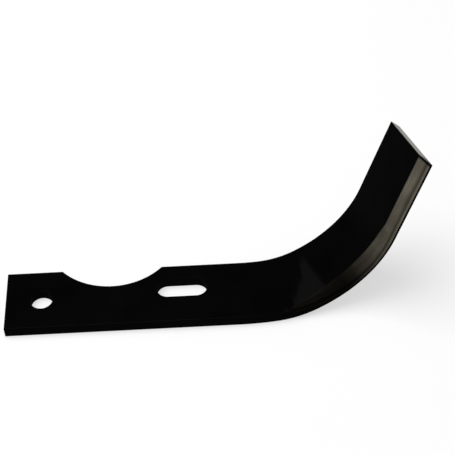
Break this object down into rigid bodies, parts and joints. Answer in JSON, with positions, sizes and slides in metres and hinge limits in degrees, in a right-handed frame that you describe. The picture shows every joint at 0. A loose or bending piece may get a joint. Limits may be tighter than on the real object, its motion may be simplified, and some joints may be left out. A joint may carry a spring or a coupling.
{
  "type": "rotary tiller blade",
  "caption": "Flat steel bar blade: drilled and slotted shank with a rotor-tube notch, swept and bent up into a bevelled cutting leg.",
  "frame": {"origin": "centre of the bolt hole, on the underside of the shank", "axes": "+X along the shank towards the bent tip, +Y towards the notched edge, +Z out of the shank the way the leg is bent"},
  "size_m": [0.2222, 0.0554, 0.0986],
  "materials": {
    "blade": "gloss black paint; the bevel and the sheared end are bare ground steel"
  },
  "bodies": {
    "root": {"blade": "blade"}
  },
  "joints": []
}
